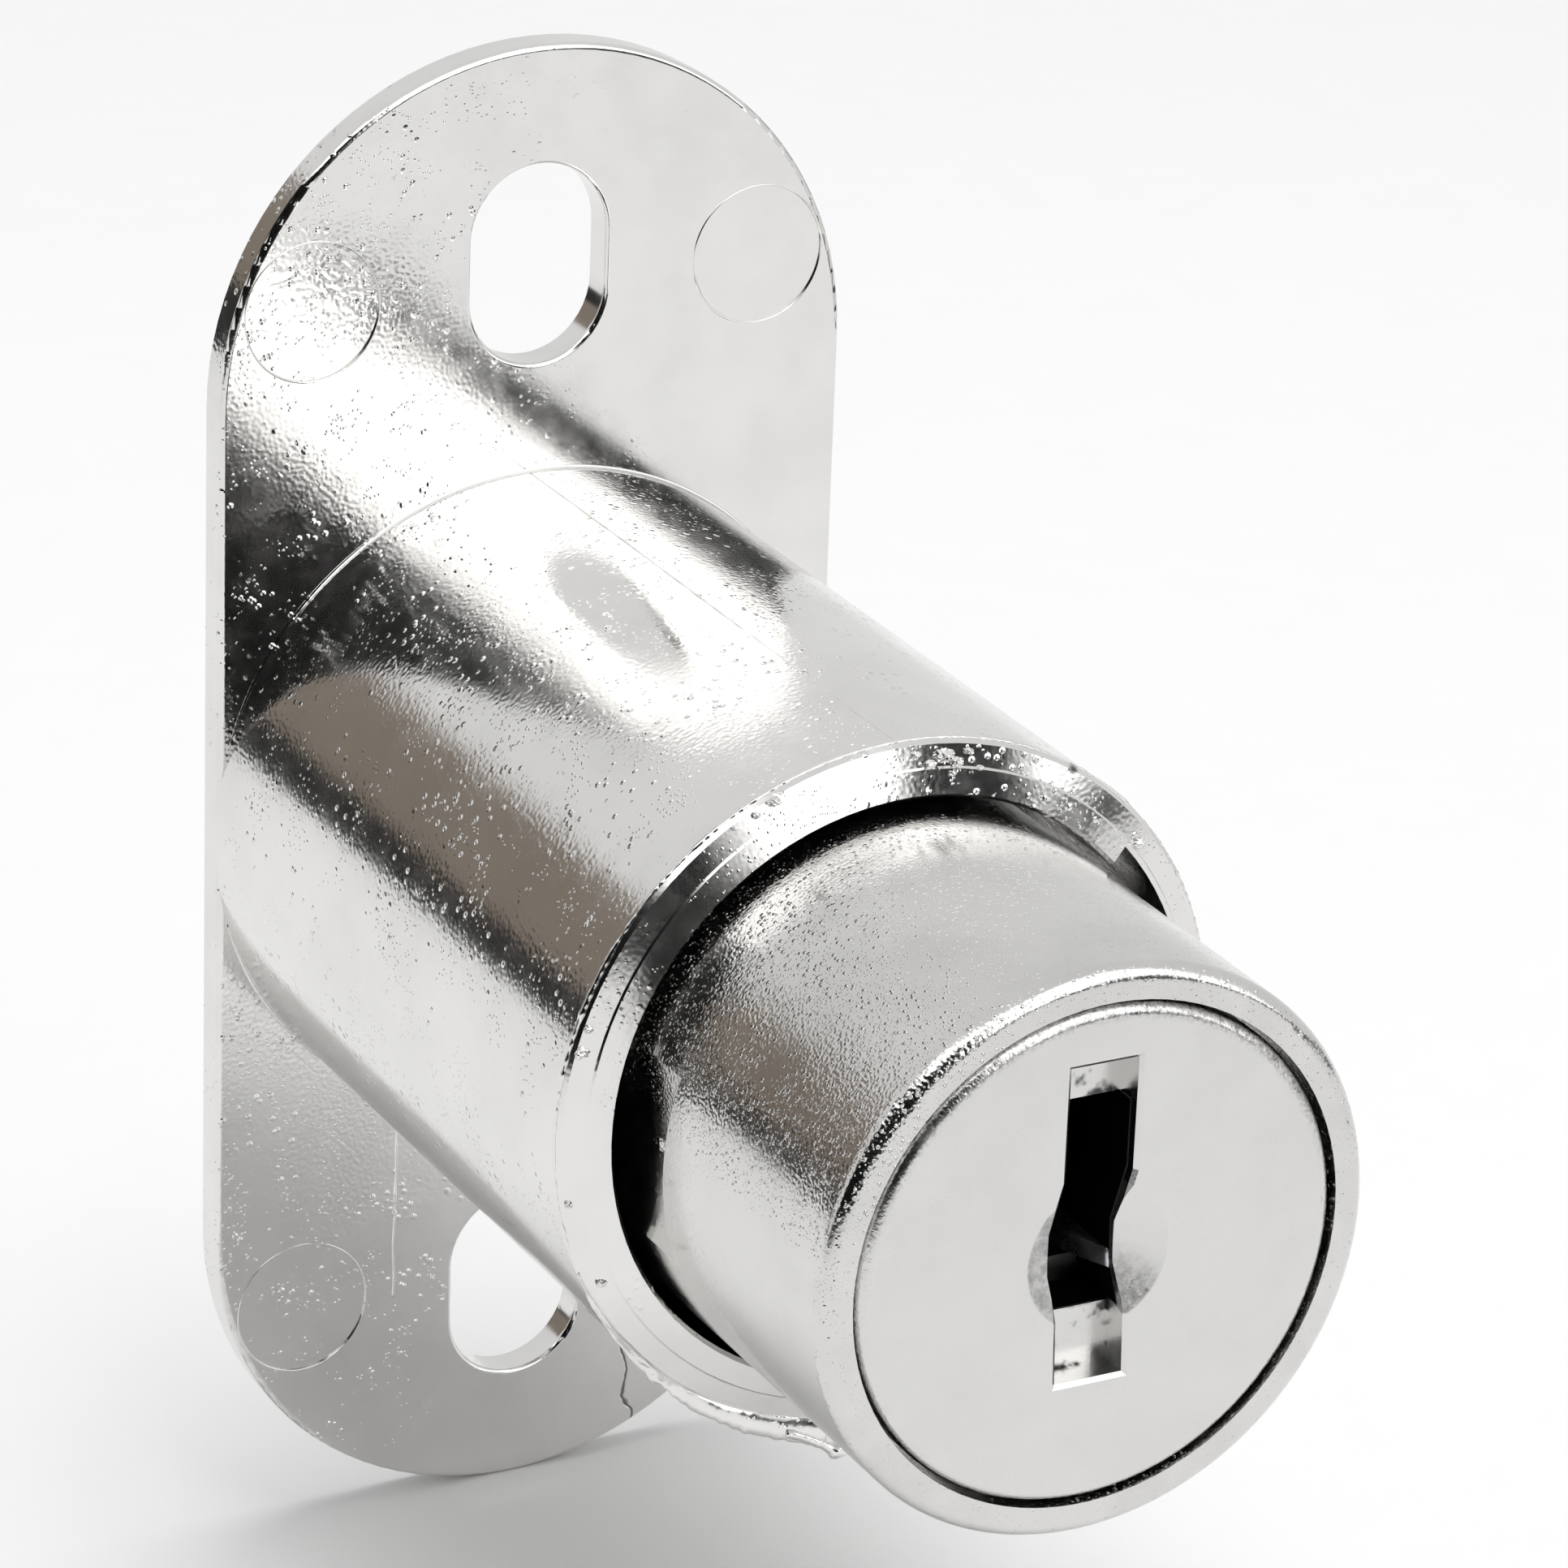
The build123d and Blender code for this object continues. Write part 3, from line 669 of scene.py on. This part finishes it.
def make_flash_web():
    """Thin ragged fin that grows outwards along the lower left of the rim."""
    start, end = 203, 262
    per_degree = 5
    steps = (end - start) * per_degree
    station = -RIM_Y - 0.6 * MM
    sections = []
    for step in range(steps + 1):
        share = step / steps
        angle = start + (end - start) * share
        spot = on_body(BODY_RADIUS, angle, station)
        ragged = 0.1 * jitter(spot, 900.0, 41) + 0.07 * jitter(spot, 3300.0, 42)
        reach = MM * max(0.02, 0.85 * share**1.5 + ragged * min(1.0, 3.0 * share))
        forward = 0.12 * MM * share + 0.05 * MM * jitter(spot, 1200.0, 43)
        outline = [
            (BODY_RADIUS - 0.4 * MM, station - 0.1 * MM),
            (BODY_RADIUS + reach * 0.6, station - 0.07 * MM + forward * 0.6),
            (BODY_RADIUS + reach, station + forward),
            (BODY_RADIUS + reach * 0.93, station + 0.07 * MM + forward),
            (BODY_RADIUS + reach * 0.5, station + 0.06 * MM + forward * 0.5),
            (BODY_RADIUS - 0.3 * MM, station + 0.05 * MM),
        ]
        sections.append([within_side(on_body(radius, angle, place)) for radius, place in outline])
    add_piece("flash_web", skin_sections("flash_web", sections, False), HOUSING, "housing_plating")


def make_flash_tail():
    """Curl with a knobbed end where the fin stops, at the bottom of the rim."""
    steps = 40
    path = []
    radii = []
    station = -RIM_Y - 0.5 * MM
    for step in range(steps + 1):
        share = step / steps
        angle = 255.0 + 10.5 * share
        outward = MM * (0.45 + 0.75 * share**1.6)
        path.append(on_body(BODY_RADIUS + outward, angle, station + 0.1 * MM * share))
        rough = 0.035 * jitter(Vector((share, 0, 0)), 14.0, 21)
        knob = 0.15 * math.exp(-(((share - 0.88) / 0.12) ** 2))
        radii.append(MM * (0.15 + rough + knob) * min(1.0, 6.0 * (1.04 - share)))
    mesh = bead_line("flash_tail", path, radii, lambda point: Vector((0, -1, 0)), squash=0.8)
    add_piece("flash_tail", mesh, HOUSING, "housing_plating")


def make_rim_lumps():
    """Nodules and burrs left on the front rim, each at a plan angle and a radius in millimetres."""
    forward = Vector((0, -1, 0))
    spots = [
        (83.0, 10.55, 0.26, 0.34),
        (80.5, 10.35, 0.16, 0.16),
        (85.5, 10.3, 0.15, 0.13),
        (78.5, 10.65, 0.12, 0.14),
        (88.0, 10.6, 0.13, 0.1),
        (81.5, 10.0, 0.12, 0.09),
        (76.0, 10.2, 0.1, 0.08),
        (113.5, 10.75, 0.2, 0.16),
        (117.0, 10.7, 0.13, 0.1),
        (121.0, 10.78, 0.1, 0.08),
        (164.0, 10.72, 0.22, 0.14),
        (160.0, 10.75, 0.14, 0.12),
        (190.0, 10.75, 0.12, 0.08),
        (206.0, 10.55, 0.16, 0.06),
        (39.0, 10.4, 0.2, 0.1),
    ]
    for index, (angle, radius, size, height) in enumerate(spots):
        cone = (BODY_RADIUS - radius * MM) * RIM_SLOPE
        station = -RIM_Y - RIM_DROP + cone
        centre = on_body(radius * MM, angle, station)
        name = f"rim_burr_{index + 1}"
        mesh = lump(name, centre, forward, size * MM, height * MM, 30 + index)
        add_piece(name, mesh, HOUSING, "housing_plating")


def make_flat_burr():
    """Bright burr on the plunger's side flat, low enough to pass the stop lug."""
    centre = Vector((FLAT_X, FACE_Y + 10.9 * MM, 0.35 * MM))
    mesh = lump("flat_burr", centre, Vector((-1, 0, 0)), 0.34 * MM, 0.06 * MM, 60)
    add_piece("flat_burr", mesh, PLUNGER, "barrel_plating")


def make_keyway_ward():
    """Pale ward on the right wall of the keyway, with a slanted front end."""
    wall_x = 0.7 * MM
    tip_x = 0.64 * MM
    inner_x = 0.0
    steps = 60
    low_z, high_z = -0.72 * MM, -0.12 * MM
    front_y, slant_y, back_y = FACE_Y + 0.5 * MM, FACE_Y + 1.9 * MM, FACE_Y + 7.4 * MM
    round_off = 0.05 * MM
    sections = []
    for step in range(steps + 1):
        y = front_y + (back_y - front_y) * step / steps
        share = min(1.0, (y - front_y) / (slant_y - front_y))
        inner = tip_x + (inner_x - tip_x) * share
        inner += 0.01 * MM * jitter(Vector((0, y, 0)), 700.0, 70)
        sections.append(
            [
                Vector((wall_x, y, high_z)),
                Vector((inner + round_off, y, high_z)),
                Vector((inner, y, high_z - round_off)),
                Vector((inner, y, low_z + round_off)),
                Vector((inner + round_off, y, low_z)),
                Vector((wall_x, y, low_z)),
            ]
        )
    mesh = skin_sections("keyway_ward", sections, False)
    add_piece("keyway_ward", mesh, PLUG_CORE, "zinc_plated_steel")


def coil_mesh(name, base, axes, size, steps_per_turn, sides):
    """Round-wire spring on its base point: axes are its length and the two across it.

    size is its coil radius, wire radius and height.  The closed turns at each end lie nearly wire
    on wire.
    """
    along, first, second = axes
    coil_radius, wire_radius, height = size
    closed_rise = 2.1 * wire_radius * CLOSED_TURNS
    open_rise = height - 2 * wire_radius - 2 * closed_rise
    open_turns = SPRING_TURNS - 2 * CLOSED_TURNS
    steps = steps_per_turn * SPRING_TURNS
    path = []
    outward = []
    for step in range(steps + 1):
        turn = SPRING_TURNS * step / steps
        lower = min(turn, CLOSED_TURNS)
        middle = min(max(turn - CLOSED_TURNS, 0.0), open_turns)
        upper = max(turn - CLOSED_TURNS - open_turns, 0.0)
        rise = wire_radius + open_rise * middle / open_turns
        rise += closed_rise * (lower + upper) / CLOSED_TURNS
        spoke = first * math.cos(math.tau * turn) + second * math.sin(math.tau * turn)
        path.append(base + along * rise + spoke * coil_radius)
        outward.append(spoke)
    sections = []
    for index, point in enumerate(path):
        tangent = (path[min(index + 1, steps)] - path[max(index - 1, 0)]).normalized()
        sections.append(ring_of(point, tangent, outward[index], wire_radius, sides=sides))
    return skin_sections(name, sections, False)


def make_return_coil():
    """Return spring, riding on the plunger."""
    low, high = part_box("return_spring")
    height = high[1] - low[1]
    axes = (Vector((0, -1, 0)), Vector((1, 0, 0)), Vector((0, 0, 1)))
    size = (high[0] - RETURN_WIRE_RADIUS, RETURN_WIRE_RADIUS, height)
    mesh = coil_mesh("return_coil", Vector((0, high[1], 0)), axes, size, 48, 14)
    piece = add_piece("return_coil", mesh, PLUNGER, "spring_steel")
    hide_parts("return_spring")
    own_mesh(piece)


def make_latch_leaf():
    """Bowed leaf behind the latch, riding on the plunger."""
    low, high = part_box("latch_spring")
    bow_height = high[0] - low[0]
    half_length = (high[2] - low[2]) / 2 - LEAF_EDGE
    half_width = (high[1] - low[1]) / 2
    middle_y = (high[1] + low[1]) / 2
    half_thickness = LEAF_THICKNESS / 2
    bow = bow_height - LEAF_THICKNESS
    bow_radius = (half_length**2 + bow**2) / (2 * bow)
    half_angle = math.asin(half_length / bow_radius)
    centre_x = high[0] - half_thickness - bow_radius
    outline = [
        (-half_width, -half_thickness + LEAF_EDGE),
        (-half_width + LEAF_EDGE, -half_thickness),
        (half_width - LEAF_EDGE, -half_thickness),
        (half_width, -half_thickness + LEAF_EDGE),
        (half_width, half_thickness - LEAF_EDGE),
        (half_width - LEAF_EDGE, half_thickness),
        (-half_width + LEAF_EDGE, half_thickness),
        (-half_width, half_thickness - LEAF_EDGE),
    ]
    sections = []
    steps = 64
    for step in range(steps + 1):
        off_middle = 2 * step / steps - 1
        turn = half_angle * off_middle
        # The two ends narrow to a rounded tip
        narrow = math.sqrt(1 - max(0.0, abs(off_middle) - 0.9) / 0.1 * 0.75)
        section = []
        for across, out in outline:
            radius = bow_radius + out
            x = centre_x + radius * math.cos(turn)
            section.append(Vector((x, middle_y + across * narrow, radius * math.sin(turn))))
        sections.append(section)
    mesh = skin_sections("latch_leaf", sections, False)
    piece = add_piece("latch_leaf", mesh, PLUNGER, "spring_steel")
    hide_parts("latch_spring")
    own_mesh(piece)


def make_wafer_coils():
    """Small springs between the plug and each wafer's tab."""
    axes = (Vector((0, 0, 1)), Vector((1, 0, 0)), Vector((0, 1, 0)))
    for number in range(1, WAFER_COUNT + 1):
        low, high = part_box(f"wafer_spring_{number}")
        base = Vector(((low[0] + high[0]) / 2, (low[1] + high[1]) / 2, low[2]))
        coil_radius = (high[0] - low[0]) / 2 - WAFER_WIRE_RADIUS
        size = (coil_radius, WAFER_WIRE_RADIUS, high[2] - low[2])
        name = f"wafer_coil_{number}"
        mesh = coil_mesh(name, base, axes, size, 32, 8)
        piece = place_piece(name, mesh, "spring_steel")
        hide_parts(f"wafer_spring_{number}")
        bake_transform(piece)


def make_details():
    make_return_coil()
    make_latch_leaf()
    make_wafer_coils()
    make_root_fillets()
    make_parting_ridge()
    make_plate_ridge()
    make_ejector_lips()
    make_rim_flash()
    make_flash_web()
    make_flash_tail()
    make_rim_lumps()
    make_flat_burr()
    make_keyway_ward()


# ---------------------------------------------------------------- studio


def make_world():
    """White tent with one softbox at the front, a dark room beyond it and a low brown wall."""
    world = bpy.data.worlds.new("studio")
    bpy.context.scene.world = world
    world.use_nodes = True
    graph = Graph(world.node_tree)
    direction = graph.node("ShaderNodeTexCoord").outputs["Generated"]
    x, y, z = graph.split(direction)

    back = grey(0.82)
    softbox = grey(2.1)
    dark = grey(0.006)
    wall = (0.24, 0.205, 0.172, 1.0)

    # Front half: across is how far to the right a direction points, for each step forward
    is_front = graph.ramp(y, 0.25, 0.0)
    forward = graph.math("MAXIMUM", graph.times(y, -1.0), 0.05)
    across = graph.math("DIVIDE", x, forward)
    # The softbox stops overhead and far to the right, where the tent is plain
    in_softbox = graph.times(graph.ramp(across, 1.9, 1.0), graph.ramp(z, 0.94, 0.86))
    colour = graph.mix(graph.times(is_front, in_softbox), back, softbox)
    # The softbox leans, so its left side is further left higher up
    left_side = graph.math("MULTIPLY_ADD", z, 0.6, across)
    room = graph.times(graph.ramp(left_side, 0.27, 0.14), graph.ramp(z, 0.72, 0.62))
    colour = graph.mix(graph.times(room, is_front), colour, dark)
    # Its lower edge is higher on the right
    rise = graph.ramp(across, 0.45, 0.57, 0.0, -0.26)
    raised = graph.times(rise, graph.ramp(across, 0.86, 0.78))
    lower_edge = graph.ramp(graph.math("ADD", z, raised), -0.01, -0.07)
    colour = graph.mix(graph.times(lower_edge, is_front), colour, dark)

    # Back left: a low wall between the table and the tent
    is_back_left = graph.times(graph.ramp(y, 0.3, 0.5), graph.ramp(x, -0.15, -0.35))
    low = graph.times(is_back_left, graph.ramp(z, 0.38, 0.33))
    colour = graph.mix(low, colour, wall)
    base = graph.times(is_back_left, graph.ramp(z, 0.07, 0.01))
    colour = graph.mix(base, colour, grey(0.03))

    # The floor takes most of its light from the lamp, and the tent itself shows as plain
    rays = graph.node("ShaderNodeLightPath").outputs
    colour = graph.mix(rays["Is Diffuse Ray"], colour, grey(TENT_FILL))
    colour = graph.mix(rays["Is Camera Ray"], colour, grey(0.95))
    background = graph.node("ShaderNodeBackground")
    graph.link(colour, background.inputs["Color"])
    background.inputs["Strength"].default_value = 1.0
    output = graph.node("ShaderNodeOutputWorld")
    graph.link(background.outputs[0], output.inputs["Surface"])


def make_floor():
    """Plain pale floor that the flange stands on."""
    size = TABLE_HALF_SIZE
    mesh = bpy.data.meshes.new("floor")
    corners = [(-size, -size, 0), (size, -size, 0), (size, size, 0), (-size, size, 0)]
    mesh.from_pydata(corners, [], [(0, 1, 2, 3)])
    floor = bpy.data.objects.new("floor", mesh)
    floor.location = (0.0, 0.0, FLOOR_Z)
    bpy.context.scene.collection.objects.link(floor)
    material = bpy.data.materials.new("floor paper")
    material.use_nodes = True
    graph = Graph(material.node_tree)
    place = graph.node("ShaderNodeTexCoord").outputs["Object"]
    shade = graph.mix(graph.noise(place, 300.0, 3.0), grey(0.93), grey(0.95))
    shader = graph.node("ShaderNodeBsdfPrincipled")
    graph.link(shade, shader.inputs["Base Color"])
    shader.inputs["Roughness"].default_value = 0.9
    shader.inputs["Specular IOR Level"].default_value = 0.1
    output = graph.node("ShaderNodeOutputMaterial")
    graph.link(shader.outputs["BSDF"], output.inputs["Surface"])
    mesh.materials.append(material)


def make_lamp(name, place, aim, size, power):
    """Soft square lamp pointed at a spot."""
    lamp = bpy.data.lights.new(name, "AREA")
    lamp.shape = "SQUARE"
    lamp.size = size
    lamp.energy = power
    made = bpy.data.objects.new(name, lamp)
    made.location = place
    made.rotation_euler = (Vector(aim) - Vector(place)).to_track_quat("-Z", "Y").to_euler()
    bpy.context.scene.collection.objects.link(made)
    return made


def make_top_lamp():
    """One overhead softbox, kept out of the reflections that the world already gives."""
    top = make_lamp("top_softbox", (0.02, -0.05, 0.6), (0.0, -0.02, 0.0), 0.45, LAMP_POWER)
    top.visible_glossy = False


def make_camera():
    """Camera in front, to the left and above, slightly rolled."""
    azimuth = math.radians(CAMERA_AZIMUTH)
    elevation = math.radians(CAMERA_ELEVATION)
    level = math.cos(elevation)
    outward = Vector((level * math.sin(azimuth), -level * math.cos(azimuth), math.sin(elevation)))
    right = Vector((0.0, 0.0, 1.0)).cross(outward).normalized()
    up = outward.cross(right)
    roll = math.radians(CAMERA_ROLL)
    rolled_right = right * math.cos(roll) + up * math.sin(roll)
    rolled_up = up * math.cos(roll) - right * math.sin(roll)
    turn = Matrix((rolled_right, rolled_up, outward)).transposed().to_4x4()
    lens = bpy.data.cameras.new("camera")
    lens.lens = CAMERA_LENS_MM
    lens.sensor_width = CAMERA_SENSOR_MM
    lens.clip_start = 0.01
    lens.clip_end = 50.0
    camera = bpy.data.objects.new("camera", lens)
    camera.matrix_world = Matrix.Translation(CAMERA_AIM + outward * CAMERA_DISTANCE) @ turn
    bpy.context.scene.collection.objects.link(camera)
    bpy.context.scene.camera = camera


finishes = make_materials()
dress_nodes(finishes)
make_details()
make_world()
make_floor()
make_top_lamp()
make_camera()
bpy.context.scene.view_settings.view_transform = "Standard"
